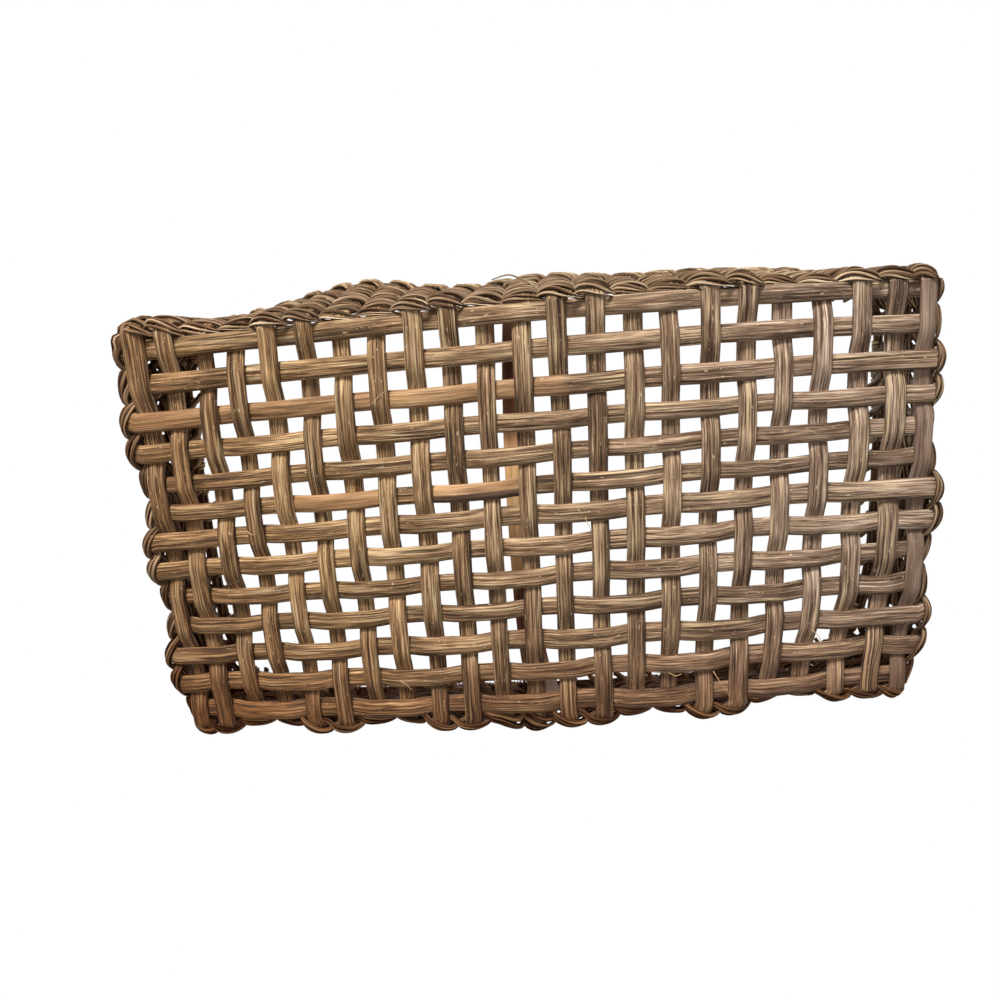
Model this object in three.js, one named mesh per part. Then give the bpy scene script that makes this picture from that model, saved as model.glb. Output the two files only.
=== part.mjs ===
// Flower gathering basket: a shallow rectangular wicker tray with a fixed bent-wood hoop handle.
// Flat reeds cross in a two-over-two-under twill to make the base, turn up at its edges and
// become the wall stakes. Weavers run round the stakes, a border caps them and the hoop handle
// stands inside the two long walls, lashed to one stake of each. The pieces are made even and
// square, then all settle alike into the shape of the hand-made basket.
// Millimetres, +Z up, the base lies on z = 0, X runs along the length of the basket.
import * as THREE from 'three';

// Driving dimensions
const REED_WIDTH = 10; // width of a base reed
const REED_THICK = 5.2; // thickness of a base reed
const CROSS_COUNT = 23; // reeds lying across the basket
const LONG_COUNT = 13; // reeds lying along the basket
const CROSS_PITCH = 19; // spacing of the cross reeds along X
const EDGE_PITCH = 16; // spacing of the first and last cross reeds from their neighbours
const LONG_PITCH = 17.7; // spacing of the long reeds along Y
const WALL_HEIGHT = 85; // top of the rim border above the ground
const FRONT_FLARE = 0.5; // how far the rim stands out over the middle of the front wall
const BACK_FLARE = 17; // how far the rim stands out over the middle of the back wall
const LEFT_FLARE = 1; // how far the rim stands out over the middle of the left wall
const RIGHT_FLARE = -1.5; // how far the rim stands out over the middle of the right wall
const RIM_SQUARENESS = 8; // exponent of the rounded rim outline, higher is squarer
const RIM_WIDTH = 9; // width of the rim border seen from above
const RIM_DEPTH = 8; // depth of the rim border
const WEAVER_ROWS = 7; // wall weavers between base and rim
const WEAVER_THICK = 2.5; // thickness of a wall weaver
const HANDLE_TOP = 196; // crown of the handle above the ground
const HANDLE_WIDTH = 19; // width of the handle strip
const HANDLE_THICK = 5; // thickness of the handle strip
const HANDLE_REED_COUNT = 12; // the cross reed that carries the handle, counted from the left
const HANDLE_LEAN = 14; // how far the handle's crown leans to the left of its lashings
const LASHING_WIDTH = 3.2; // height of one lashing turn
const LASHING_THICK = 2; // thickness of one lashing turn
const FIT = 0.3; // clearance between pieces that lie against each other
const WEAVE_FIT = 0.6; // clearance of a weaver against a stake

// Sizes that follow from them
const FLAT_SHARE = 0.6; // share of a reed's width that is flat
const BEND_SHARE = 1.05; // size of the turn at a base edge, in reed thicknesses
const RIM_EASE = 2; // eased edges of the rim border
const HANDLE_EASE = 1.4; // eased edges of the handle strip
const LASHING_SPARE = 1.4; // free height left beside the lashing turns
const LEG_CLEAR = 2; // the handle legs stay straight to this height above the rim
const ARCH_PULL = 0.56; // fullness of the arch, 0.55 is close to a round one
const ARCH_STEPS = 9; // straight runs in one half of the arch
const LOW_LEVEL = REED_THICK / 2;
const HIGH_LEVEL = LOW_LEVEL + REED_THICK + FIT;
const BASE_TOP = HIGH_LEVEL + REED_THICK / 2;
const FLAT_REACH = REED_WIDTH / 2;
const BEND = BEND_SHARE * REED_THICK;
const STAKE_OUT = REED_WIDTH / 2 + BEND + 2 * FIT;
const LAST_CROSS = ((CROSS_COUNT - 3) / 2) * CROSS_PITCH + EDGE_PITCH;
const LAST_LONG = ((LONG_COUNT - 1) / 2) * LONG_PITCH;
const FOOT_X = LAST_CROSS + STAKE_OUT;
const FOOT_Y = LAST_LONG + STAKE_OUT;
const STAKE_TOP = WALL_HEIGHT - RIM_DEPTH - FIT;
const LASHING_ZONE = 2 * LASHING_WIDTH + 4 * FIT + LASHING_SPARE;
const LASHING_LOW = STAKE_TOP - LASHING_ZONE;
const LEAN_FROM = HIGH_LEVEL + BEND; // all upright ends start to lean at this height
const WEAVER_LOW = BASE_TOP + BEND + FIT;
const WEAVER_PITCH = (LASHING_LOW - WEAVER_LOW) / WEAVER_ROWS;
const WEAVER_TALL = WEAVER_PITCH - 2 * FIT;
const WEAVER_OFF = REED_THICK / 2 + WEAVE_FIT + WEAVER_THICK / 2;
const WEAVER_ENDS = 0.8; // opening where the two ends of one weaver meet
const TWIST_STEP = Math.PI / 15; // largest turn of an upright end between two stations
const LEG_INSET = WEAVER_OFF + WEAVER_THICK / 2 + WEAVE_FIT + HANDLE_THICK / 2;

// How the hand-made basket departs from an even one. Drift of the base along X and Y: a power of
// the place along it, a power of the place across it, and millimetres
const DRIFT_X = [
  [1, 0, 2.1],
  [0, 1, -4.3],
  [2, 1, 2],
  [1, 2, -2.3],
  [3, 0, -3.7],
];
const DRIFT_Y = [
  [1, 0, -2],
  [0, 1, -1.5],
  [1, 1, 0.5],
  [0, 2, 2.1],
  [2, 1, -3.5],
  [1, 2, 3.7],
  [3, 0, 1],
  [0, 3, 5.4],
];
const CORNER_X = 3.5; // how far the back right corner is drawn in along X
const CORNER_Y = 5; // how far the back right corner is drawn in along Y
const CORNER_FROM = [0.3, 0.5]; // where the drawn-in corner starts along and across the base
const FRONT_BULGE = 8; // how far the front rim bulges out
const BULGE_PLACE = -0.4; // middle of the bulge along the base
const BULGE_SPREAD = 0.3; // reach of the bulge along the base

const REED_COLOUR = 0x8a6b4a;
const WEAVER_COLOUR = 0x6f5843;
const RIM_COLOUR = 0x7a5f45;
const HANDLE_COLOUR = 0x9a7a55;
const LASHING_COLOUR = 0x5d4a38;

// A path with the section directions given at each station, for sweeping a section along it
class Route extends THREE.Curve {
  constructor(stations) {
    super();
    this.stations = stations;
  }

  getPoint(t, target = new THREE.Vector3()) {
    const index = Math.round(t * (this.stations.length - 1));
    return target.copy(this.stations[index].point);
  }

  getSpacedPoints() {
    return this.stations.map((station) => station.point.clone());
  }

  computeFrenetFrames() {
    return {
      tangents: this.stations.map(() => new THREE.Vector3()),
      normals: this.stations.map((station) => station.normal),
      binormals: this.stations.map((station) => station.binormal),
    };
  }
}

function sweep(section, stations) {
  const route = new Route(stations);
  const options = { steps: stations.length - 1, bevelEnabled: false, extrudePath: route };
  return new THREE.ExtrudeGeometry(section, options);
}

// Flat oval section: thickness along the first axis, width along the second
function ovalSection(thick, width, flatShare) {
  const flat = (width / 2) * flatShare;
  const shape = new THREE.Shape();
  shape.moveTo(thick / 2, -flat);
  shape.lineTo(thick / 2, flat);
  shape.lineTo(0, width / 2);
  shape.lineTo(-thick / 2, flat);
  shape.lineTo(-thick / 2, -flat);
  shape.lineTo(0, -width / 2);
  shape.closePath();
  return shape;
}

// Strip section with eased edges
function stripSection(thick, width, ease) {
  const x = thick / 2;
  const y = width / 2;
  const shape = new THREE.Shape();
  shape.moveTo(x, -y + ease);
  shape.lineTo(x, y - ease);
  shape.lineTo(x - ease, y);
  shape.lineTo(-x + ease, y);
  shape.lineTo(-x, y - ease);
  shape.lineTo(-x, -y + ease);
  shape.lineTo(-x + ease, -y);
  shape.lineTo(x - ease, -y);
  shape.closePath();
  return shape;
}

function bandSection(thick, tall) {
  const shape = new THREE.Shape();
  shape.moveTo(thick / 2, -tall / 2);
  shape.lineTo(thick / 2, tall / 2);
  shape.lineTo(-thick / 2, tall / 2);
  shape.lineTo(-thick / 2, -tall / 2);
  shape.closePath();
  return shape;
}

// Mitre directions of an open flat path, on its left side
function mitres(points) {
  const sides = [];
  for (let k = 0; k < points.length - 1; k += 1) {
    const step = points[k + 1].clone().sub(points[k]).normalize();
    sides.push(new THREE.Vector2(-step.y, step.x));
  }
  return points.map((point, k) => {
    const before = sides[Math.max(k - 1, 0)];
    const after = sides[Math.min(k, sides.length - 1)];
    return before.clone().add(after).divideScalar(1 + before.dot(after));
  });
}

// Rounded rim outline: the point that a stake foot on the base outline reaches at the rim
function rimPoint(footX, footY) {
  const u = footX / FOOT_X;
  const v = footY / FOOT_Y;
  const reach = Math.abs(u) ** RIM_SQUARENESS + Math.abs(v) ** RIM_SQUARENESS;
  const scale = reach ** (-1 / RIM_SQUARENESS);
  const rimX = FOOT_X + (u > 0 ? RIGHT_FLARE : LEFT_FLARE);
  const rimY = FOOT_Y + (v > 0 ? BACK_FLARE : FRONT_FLARE);
  const slopeX = (Math.sign(u) * Math.abs(u * scale) ** (RIM_SQUARENESS - 1)) / rimX;
  const slopeY = (Math.sign(v) * Math.abs(v * scale) ** (RIM_SQUARENESS - 1)) / rimY;
  const out = new THREE.Vector2(slopeX, slopeY).normalize();
  return {
    place: new THREE.Vector2(rimX * u * scale, rimY * v * scale),
    along: new THREE.Vector2(-out.y, out.x),
  };
}

// A cross reed lies under the long reed at this crossing; the last cross reed repeats the first
function crossIsLow(i, j) {
  const lane = i === CROSS_COUNT ? 1 : i;
  return (lane + j + 2) % 4 < 2;
}

function crossLevel(i, j) {
  return crossIsLow(i, j) ? LOW_LEVEL : HIGH_LEVEL;
}

function longLevel(i, j) {
  return crossIsLow(i, j) ? HIGH_LEVEL : LOW_LEVEL;
}

function crossPlace(i) {
  if (i === 1) {
    return -LAST_CROSS;
  }
  if (i === CROSS_COUNT) {
    return LAST_CROSS;
  }
  return (i - (CROSS_COUNT + 1) / 2) * CROSS_PITCH;
}

function longPlace(j) {
  return (j - (LONG_COUNT + 1) / 2) * LONG_PITCH;
}

// One upright reed end: it leans from just above the base edge to the rim
class Stake {
  constructor(footX, footY, alongX, alongY) {
    const rim = rimPoint(footX, footY);
    this.low = new THREE.Vector3(footX, footY, LEAN_FROM);
    this.high = new THREE.Vector3(rim.place.x, rim.place.y, STAKE_TOP);
    this.lowAlong = new THREE.Vector2(alongX, alongY);
    this.highAlong = rim.along;
    this.twist = Math.acos(Math.min(1, this.lowAlong.dot(this.highAlong)));
  }

  at(height) {
    const share = (height - this.low.z) / (this.high.z - this.low.z);
    const place = this.low.clone().lerp(this.high, share);
    const along = this.lowAlong.clone().lerp(this.highAlong, share).normalize();
    const lean = this.high.clone().sub(this.low).divideScalar(this.high.z - this.low.z);
    return { place, along, out: new THREE.Vector2(along.y, -along.x), lean };
  }
}

const frontStakes = [];
const backStakes = [];
for (let i = 1; i <= CROSS_COUNT; i += 1) {
  frontStakes.push(new Stake(crossPlace(i), -FOOT_Y, 1, 0));
  backStakes.push(new Stake(crossPlace(i), FOOT_Y, -1, 0));
}
const leftStakes = [];
const rightStakes = [];
for (let j = 1; j <= LONG_COUNT; j += 1) {
  leftStakes.push(new Stake(-FOOT_X, longPlace(j), 0, -1));
  rightStakes.push(new Stake(FOOT_X, longPlace(j), 0, 1));
}
const allStakes = [
  ...frontStakes,
  ...rightStakes,
  ...[...backStakes].reverse(),
  ...[...leftStakes].reverse(),
];

// Side view of a reed: down one base edge, through the weave, up the other base edge
function reedProfile(places, levels, foot) {
  const last = places.length - 1;
  const points = [];
  points.push(new THREE.Vector2(-foot, LEAN_FROM));
  if (levels[0] + BEND < LEAN_FROM) {
    points.push(new THREE.Vector2(-foot, levels[0] + BEND));
  }
  points.push(new THREE.Vector2(-foot + BEND, levels[0]));
  for (let k = 0; k <= last; k += 1) {
    if (k > 0 && levels[k - 1] !== levels[k]) {
      points.push(new THREE.Vector2(places[k] - FLAT_REACH, levels[k]));
    }
    if (k < last && levels[k + 1] !== levels[k]) {
      points.push(new THREE.Vector2(places[k] + FLAT_REACH, levels[k]));
    }
  }
  points.push(new THREE.Vector2(foot - BEND, levels[last]));
  if (levels[last] + BEND < LEAN_FROM) {
    points.push(new THREE.Vector2(foot, levels[last] + BEND));
  }
  points.push(new THREE.Vector2(foot, LEAN_FROM));
  return points;
}

// Stations up a leaning end, more of them where it turns to follow the rim at a corner
function stakeStations(stake, side) {
  const steps = 1 + Math.round(stake.twist / TWIST_STEP);
  const stations = [];
  for (let k = 1; k <= steps; k += 1) {
    const height = LEAN_FROM + (k / steps) * (STAKE_TOP - LEAN_FROM);
    const { place, along, out } = stake.at(height);
    stations.push({
      point: place,
      normal: new THREE.Vector3(-out.x, -out.y, 0),
      binormal: new THREE.Vector3(side * along.x, side * along.y, 0),
    });
  }
  return stations;
}

// A whole reed: base run and both upright ends in one length
function reedGeometry(points, lay, width, firstStake, lastStake) {
  const above = new THREE.Vector2(0, 1);
  const first = points[0].clone().add(above);
  const last = points[points.length - 1].clone().add(above);
  const sides = mitres([first, ...points, last]).slice(1, -1);
  const run = points.map((point, k) => ({
    point: lay(point.x, point.y),
    normal: lay(sides[k].x, sides[k].y).sub(lay(0, 0)),
    binormal: width,
  }));
  const stations = [
    ...stakeStations(firstStake, 1).reverse(),
    ...run,
    ...stakeStations(lastStake, -1),
  ];
  return sweep(ovalSection(REED_THICK, REED_WIDTH, FLAT_SHARE), stations);
}

function crossReed(i) {
  const places = [];
  const levels = [];
  for (let j = 1; j <= LONG_COUNT; j += 1) {
    places.push(longPlace(j));
    levels.push(crossLevel(i, j));
  }
  const lay = (s, z) => new THREE.Vector3(crossPlace(i), s, z);
  const points = reedProfile(places, levels, FOOT_Y);
  const width = new THREE.Vector3(1, 0, 0);
  return reedGeometry(points, lay, width, frontStakes[i - 1], backStakes[i - 1]);
}

function longReed(j) {
  const places = [];
  const levels = [];
  for (let i = 1; i <= CROSS_COUNT; i += 1) {
    places.push(crossPlace(i));
    levels.push(longLevel(i, j));
  }
  const lay = (s, z) => new THREE.Vector3(s, longPlace(j), z);
  const points = reedProfile(places, levels, FOOT_X);
  const width = new THREE.Vector3(0, -1, 0);
  return reedGeometry(points, lay, width, leftStakes[j - 1], rightStakes[j - 1]);
}

// Stakes of one wall in groups, leaving two at each end for the corner groups
function wallGroups(count) {
  const inner = count - 4;
  const pairs = Math.floor(inner / 2);
  const sizes = Array(pairs).fill(2);
  const middle = Math.floor(pairs / 2);
  if (inner % 2 === 1 && pairs % 2 === 0) {
    sizes.splice(middle, 0, 1);
  }
  if (inner % 2 === 1 && pairs % 2 === 1) {
    sizes[middle] += 1;
  }
  return sizes;
}

// Groups round the whole basket, each a list of stakes; corner groups hold four
function weaveGroups() {
  const sizes = [];
  [CROSS_COUNT, LONG_COUNT, CROSS_COUNT, LONG_COUNT].forEach((count) => {
    sizes.push(...wallGroups(count), 4);
  });
  const groups = [];
  let next = 2;
  sizes.forEach((size) => {
    const members = [];
    for (let k = 0; k < size; k += 1) {
      members.push(allStakes[(next + k) % allStakes.length]);
    }
    groups.push(members);
    next += size;
  });
  return groups;
}

// An open loop of flat stations, started in the middle of its first run
function ringStations(corners) {
  const first = corners[0];
  const second = corners[1];
  const run = second.place.clone().sub(first.place).normalize();
  const middle = first.place.clone().add(second.place).divideScalar(2);
  const lean = first.lean.clone().add(second.lean).divideScalar(2);
  const shift = run.multiplyScalar(WEAVER_ENDS / 2);
  const path = [
    { place: middle.clone().add(shift), lean },
    ...corners.slice(1),
    first,
    { place: middle.clone().sub(shift), lean },
  ];
  const sides = mitres(path.map((corner) => new THREE.Vector2(corner.place.x, corner.place.y)));
  return path.map((corner, k) => ({
    point: corner.place,
    normal: new THREE.Vector3(-sides[k].x, -sides[k].y, 0),
    binormal: corner.lean.clone().negate(),
  }));
}

// One weaver: outside one group of stakes, inside the next, opposite to the row below
function wallWeaver(row) {
  const height = WEAVER_LOW + (row + 0.5) * WEAVER_PITCH;
  const flat = (REED_WIDTH / 2) * FLAT_SHARE;
  const groups = weaveGroups();
  const corners = [];
  groups.forEach((members, g) => {
    const side = (g + row) % 2 === 0 ? 1 : -1;
    members.forEach((stake, k) => {
      const { place, along, out, lean } = stake.at(height);
      const isCorner = members.length === 4;
      [-1, 1].forEach((edge) => {
        const isEnd = (edge < 0 && k === 0) || (edge > 0 && k === members.length - 1);
        if (isCorner || isEnd) {
          const x = place.x + edge * flat * along.x + side * WEAVER_OFF * out.x;
          const y = place.y + edge * flat * along.y + side * WEAVER_OFF * out.y;
          corners.push({ place: new THREE.Vector3(x, y, height), lean });
        }
      });
    });
  });
  return sweep(bandSection(WEAVER_THICK, WEAVER_TALL), ringStations(corners));
}

// Border that caps the stakes all round
function rimBorder() {
  const height = WALL_HEIGHT - RIM_DEPTH / 2;
  const upright = new THREE.Vector3(0, 0, 1);
  const corners = allStakes.map((stake) => ({
    place: new THREE.Vector3(stake.high.x, stake.high.y, height),
    lean: upright,
  }));
  return sweep(stripSection(RIM_WIDTH, RIM_DEPTH, RIM_EASE), ringStations(corners));
}

// Legs of the handle: each stands on the base inside a long wall, beside the stake that carries it
const LEG_LOW = BASE_TOP + FIT;
const LEG_HIGH = WALL_HEIGHT + LEG_CLEAR;
const LEG_FOOT = FOOT_Y - LEG_INSET;
const RIM_TO_LEG = RIM_WIDTH / 2 + HANDLE_THICK / 2 + 3 * FIT;
const legs = {
  front: { stake: frontStakes[HANDLE_REED_COUNT - 1], shoulder: FOOT_Y + FRONT_FLARE - RIM_TO_LEG },
  back: { stake: backStakes[HANDLE_REED_COUNT - 1], shoulder: FOOT_Y + BACK_FLARE - RIM_TO_LEG },
};

// Middle of a leg at a height, measured outward from the middle of the base
function legPlace(side, height) {
  const share = (height - LEG_LOW) / (LEG_HIGH - LEG_LOW);
  return LEG_FOOT + share * (legs[side].shoulder - LEG_FOOT);
}

// Middle of the handle strip along the basket at a height
function handlePlace(height) {
  const share = (height - LASHING_LOW) / (HANDLE_TOP - LASHING_LOW);
  return crossPlace(HANDLE_REED_COUNT) - HANDLE_LEAN * share;
}

// Side view of one half of the hoop, from the foot of its leg to the crown
function halfHoop(side, crown) {
  const outward = side === 'back' ? 1 : -1;
  const foot = new THREE.Vector2(outward * LEG_FOOT, LEG_LOW);
  const shoulder = new THREE.Vector2(outward * legs[side].shoulder, LEG_HIGH);
  const up = shoulder.clone().sub(foot).normalize();
  const pullUp = shoulder.clone().addScaledVector(up, ARCH_PULL * (crown.y - LEG_HIGH));
  const pullOut = new THREE.Vector2(crown.x + ARCH_PULL * (shoulder.x - crown.x), crown.y);
  const arch = new THREE.CubicBezierCurve(shoulder, pullUp, pullOut, crown);
  return { points: [foot, ...arch.getPoints(ARCH_STEPS)], up };
}

// Hoop handle: two legs joined by an arch
function handleHoop() {
  const middle = (legs.back.shoulder - legs.front.shoulder) / 2;
  const crown = new THREE.Vector2(middle, HANDLE_TOP - HANDLE_THICK / 2);
  const front = halfHoop('front', crown);
  const back = halfHoop('back', crown);
  const points = [...front.points, ...back.points.slice(0, -1).reverse()];
  const sides = mitres(points);
  const stations = points.map((point, k) => ({
    point: new THREE.Vector3(handlePlace(point.y), point.x, point.y),
    normal: new THREE.Vector3(0, sides[k].x, sides[k].y),
    binormal: new THREE.Vector3(1, 0, 0),
  }));
  stations[0].normal.set(0, -1 / front.up.y, 0);
  stations[stations.length - 1].normal.set(0, 1 / back.up.y, 0);
  return sweep(stripSection(HANDLE_THICK, HANDLE_WIDTH, HANDLE_EASE), stations);
}

// Mitre directions of a closed flat path, on its left side
function closedMitres(points) {
  return mitres([points[points.length - 1], ...points, points[0]]).slice(1, -1);
}

// One lashing turn: a loop round the handle leg that narrows to go round the stake behind it
function lashing(side, turn) {
  const low = LASHING_LOW + FIT + turn * (LASHING_WIDTH + FIT);
  const high = low + LASHING_WIDTH;
  const stakePlaces = [low, high].map((z) => Math.abs(legs[side].stake.at(z).place.y));
  const legPlaces = [low, high].map((z) => legPlace(side, z));
  const legNear = Math.min(...legPlaces) - HANDLE_THICK / 2 - 2 * FIT;
  const legFar = Math.max(...legPlaces) + HANDLE_THICK / 2 + FIT;
  const stakeNear = Math.min(...stakePlaces) - REED_THICK / 2 - FIT;
  const stakeFar = Math.max(...stakePlaces) + REED_THICK / 2 + 2 * FIT;
  const lean = handlePlace((low + high) / 2) - crossPlace(HANDLE_REED_COUNT);
  const legMiddle = side === 'back' ? lean : -lean;
  const legHalf = HANDLE_WIDTH / 2 + Math.abs(handlePlace(high) - handlePlace(low)) / 2 + FIT;
  const stakeHalf = REED_WIDTH / 2 + FIT;
  const inner = [
    new THREE.Vector2(legMiddle - legHalf, legNear),
    new THREE.Vector2(legMiddle + legHalf, legNear),
    new THREE.Vector2(legMiddle + legHalf, legFar),
    new THREE.Vector2(stakeHalf, stakeNear),
    new THREE.Vector2(stakeHalf, stakeFar),
    new THREE.Vector2(-stakeHalf, stakeFar),
    new THREE.Vector2(-stakeHalf, stakeNear),
    new THREE.Vector2(legMiddle - legHalf, legFar),
  ];
  const inward = closedMitres(inner);
  const outer = inner.map((point, k) => point.clone().addScaledVector(inward[k], -LASHING_THICK));
  const shape = new THREE.Shape(outer);
  shape.holes.push(new THREE.Path(inner));
  const geometry = new THREE.ExtrudeGeometry(shape, { depth: LASHING_WIDTH, bevelEnabled: false });
  if (side === 'front') {
    geometry.rotateZ(Math.PI);
  }
  return geometry.translate(crossPlace(HANDLE_REED_COUNT), 0, low);
}

// Sum of the drift terms at a place along and across the base
function drift(terms, u, v) {
  return terms.reduce((sum, [alongPower, acrossPower, amount]) => {
    return sum + amount * u ** alongPower * v ** acrossPower;
  }, 0);
}

// The even basket settles: the base is pulled a little out of square, its back right corner is
// drawn in and the front wall bulges towards the rim
function settle(geometry) {
  const { clamp, smoothstep } = THREE.MathUtils;
  const places = geometry.getAttribute('position');
  for (let k = 0; k < places.count; k += 1) {
    const [x, y, z] = [places.getX(k), places.getY(k), places.getZ(k)];
    const u = clamp(x / LAST_CROSS, -1, 1);
    const v = clamp(y / LAST_LONG, -1, 1);
    const corner = smoothstep(u, CORNER_FROM[0], 1) * smoothstep(v, CORNER_FROM[1], 1);
    const rise = Math.max(0, (z - LEAN_FROM) / (STAKE_TOP - LEAN_FROM));
    const bulge = FRONT_BULGE * Math.exp(-(((u - BULGE_PLACE) / BULGE_SPREAD) ** 2));
    const bulged = bulge * clamp(-v, 0, 1) * Math.min(rise, 1);
    places.setX(k, x + drift(DRIFT_X, u, v) - CORNER_X * corner);
    places.setY(k, y + drift(DRIFT_Y, u, v) - CORNER_Y * corner - bulged);
  }
  geometry.computeVertexNormals();
  return geometry;
}

const basket = new THREE.Group();
basket.name = 'flower_gathering_basket';

function add(name, geometry, colour) {
  const material = new THREE.MeshStandardMaterial({ color: colour, roughness: 0.8, metalness: 0 });
  const mesh = new THREE.Mesh(settle(geometry), material);
  mesh.name = name;
  basket.add(mesh);
}

function numbered(name, number) {
  return `${name}_${String(number).padStart(2, '0')}`;
}

for (let i = 1; i <= CROSS_COUNT; i += 1) {
  add(numbered('cross_reed', i), crossReed(i), REED_COLOUR);
}
for (let j = 1; j <= LONG_COUNT; j += 1) {
  add(numbered('long_reed', j), longReed(j), REED_COLOUR);
}
for (let row = 0; row < WEAVER_ROWS; row += 1) {
  add(numbered('wall_weaver', row + 1), wallWeaver(row), WEAVER_COLOUR);
}
add('rim_border', rimBorder(), RIM_COLOUR);
add('handle_hoop', handleHoop(), HANDLE_COLOUR);
['front', 'back'].forEach((side) => {
  add(`lashing_${side}_lower`, lashing(side, 0), LASHING_COLOUR);
  add(`lashing_${side}_upper`, lashing(side, 1), LASHING_COLOUR);
});

// The middle of the settled basket goes to the origin
const middle = new THREE.Box3().setFromObject(basket).getCenter(new THREE.Vector3());
basket.position.set(-middle.x, -middle.y, 0);

export default basket;
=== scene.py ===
"""Looks of the flower gathering basket: fibrous reeds, twined strands, a rolled border, the bent-wood
handle and its lashings. The shared frame is in metres, +Z up, with the base on z = 0. Sizes below are
in millimetres unless they say otherwise, and follow the solid part. A tone is lighter above nought and
darker below it, and where it is a pair, that is its middle and its spread."""

import math

import bpy
import numpy as np
from mathutils import Matrix, Vector


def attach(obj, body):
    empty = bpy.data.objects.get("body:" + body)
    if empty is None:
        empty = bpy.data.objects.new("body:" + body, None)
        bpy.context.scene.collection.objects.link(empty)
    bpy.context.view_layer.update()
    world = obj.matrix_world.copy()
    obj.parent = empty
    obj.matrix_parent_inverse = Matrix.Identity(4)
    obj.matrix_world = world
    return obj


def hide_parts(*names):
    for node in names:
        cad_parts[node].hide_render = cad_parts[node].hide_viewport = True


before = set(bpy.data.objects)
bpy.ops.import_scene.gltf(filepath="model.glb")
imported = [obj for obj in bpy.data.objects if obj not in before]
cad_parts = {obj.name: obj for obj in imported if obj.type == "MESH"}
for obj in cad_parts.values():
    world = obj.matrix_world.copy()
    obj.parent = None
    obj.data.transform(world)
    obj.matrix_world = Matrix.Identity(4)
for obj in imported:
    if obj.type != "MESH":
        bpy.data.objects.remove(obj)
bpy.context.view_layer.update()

MM = 0.001
SEED = 23
SEED_KEYS = {
    "cross": 1,
    "long": 2,
    "wall": 3,
    "fold": 4,
    "core": 5,
    "handle": 6,
    "lashing": 7,
    "loose": 8,
    "tip": 9,
}

# Reeds of the base and walls. Where two reeds cross, they are pressed into each other
REED_WIDTH = 9.9
REED_THICK = 5.2
CROSS_COUNT = 23
LONG_COUNT = 13
CROSS_PITCH = 19.0
EDGE_PITCH = 16.0
LONG_PITCH = 17.7
WEAVE_GAP = 0.3
PRESSED = 1.2
CROSS_RISE = 2.4
LONG_RISE = REED_THICK + WEAVE_GAP - PRESSED - CROSS_RISE
WEAVE_LIFT = 1.6
WEAVE_MIDDLE = WEAVE_LIFT + CROSS_RISE + REED_THICK / 2
BASE_TOP = WEAVE_MIDDLE + CROSS_RISE + REED_THICK / 2
REED_ROUNDNESS = 2.25
REED_SIDES = 36
REED_STEP = 2.2
CROSSING_FLAT = 0.5
RIDGE_DEPTH = 0.3
RIDGE_RUN = 30.0
WOBBLE = 0.35
WOBBLE_RUN = 90.0
ROLL = math.radians(6)
SWELL = 0.035
TONE_SPREAD = 0.5
TURN_STEPS = 8
UPRIGHT_STEPS = 30
GRAIN_SHIFT = 900.0
ROUND = 2

# Base outline, wall and rim
TURN = 7.0
STAKE_OUT = 11.06
LOW_STAND = 1.5
LAST_CROSS = (CROSS_COUNT - 3) / 2 * CROSS_PITCH + EDGE_PITCH
LAST_LONG = (LONG_COUNT - 1) / 2 * LONG_PITCH
FOOT_X = LAST_CROSS + STAKE_OUT
FOOT_Y = LAST_LONG + STAKE_OUT
FRONT_FLARE = 0.5
BACK_FLARE = 17.0
LEFT_FLARE = 1.0
RIGHT_FLARE = -1.5
RIM_SQUARENESS = 8
WALL_HEIGHT = 85.0
RIM_WIDTH = 9.0
RIM_DEPTH = 8.0
STAKE_TOP = WALL_HEIGHT - RIM_DEPTH - WEAVE_GAP
LEAN_FROM = 12.0
LEAN_LIMIT = 1.2
STAKES = 2 * (CROSS_COUNT + LONG_COUNT)

# How the hand-made basket departs from an even one. Drift of the weave along X and Y: millimetres for
# each power of the place along and across the base
DRIFT_X = {(1, 0): 2.1, (0, 1): -4.3, (2, 1): 2.0, (1, 2): -2.3, (3, 0): -3.7}
DRIFT_Y = {
    (1, 0): -2.0,
    (0, 1): -1.5,
    (1, 1): 0.5,
    (0, 2): 2.1,
    (2, 1): -3.5,
    (1, 2): 3.7,
    (3, 0): 1.0,
    (0, 3): 5.4,
}

# Where a wall stands in or out, in millimetres. Each place is a share of the half length or half width:
# where the change starts and where it is full, or for a dent, bulge or swell its middle and its spread
CORNER_X = 3.5
CORNER_Y = 5.0
CORNER_ALONG = (0.3, 1.0)
CORNER_ACROSS = (0.5, 1.0)
RIGHT_IN = 2.5
RIGHT_DENT = 4.0
RIGHT_DENT_AT = (-0.52, 0.3)
LEFT_OUT = 4.0
LEFT_OUT_AT = (-0.55, -0.9)
BACK_LEFT_IN = 2.5
BACK_LEFT_AT = (0.7, 1.0)
FRONT_IN = 3.5
FRONT_LEFT_FREE = (-0.75, -1.0)
FRONT_RIGHT_IN = 2.2
FRONT_RIGHT_AT = (0.45, 0.85)
BACK_IN = 3.3
BACK_IN_AT = (0.4, 0.8)
FRONT_BULGE = 10.0
FRONT_BULGE_AT = (-0.47, 0.2)
FRONT_SWELL = 4.0
FRONT_SWELL_AT = (0.05, 0.15)
BACK_SWELL = 11.0
BACK_SWELL_AT = (-0.03, 0.09)
BACK_SWELL_HEIGHT = (18.0, 12.0)
EDGE_FROM = 2.8
EDGE_RUN = 8.0
MIDDLE_X = -0.45
MIDDLE_Y = 6.56

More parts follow.
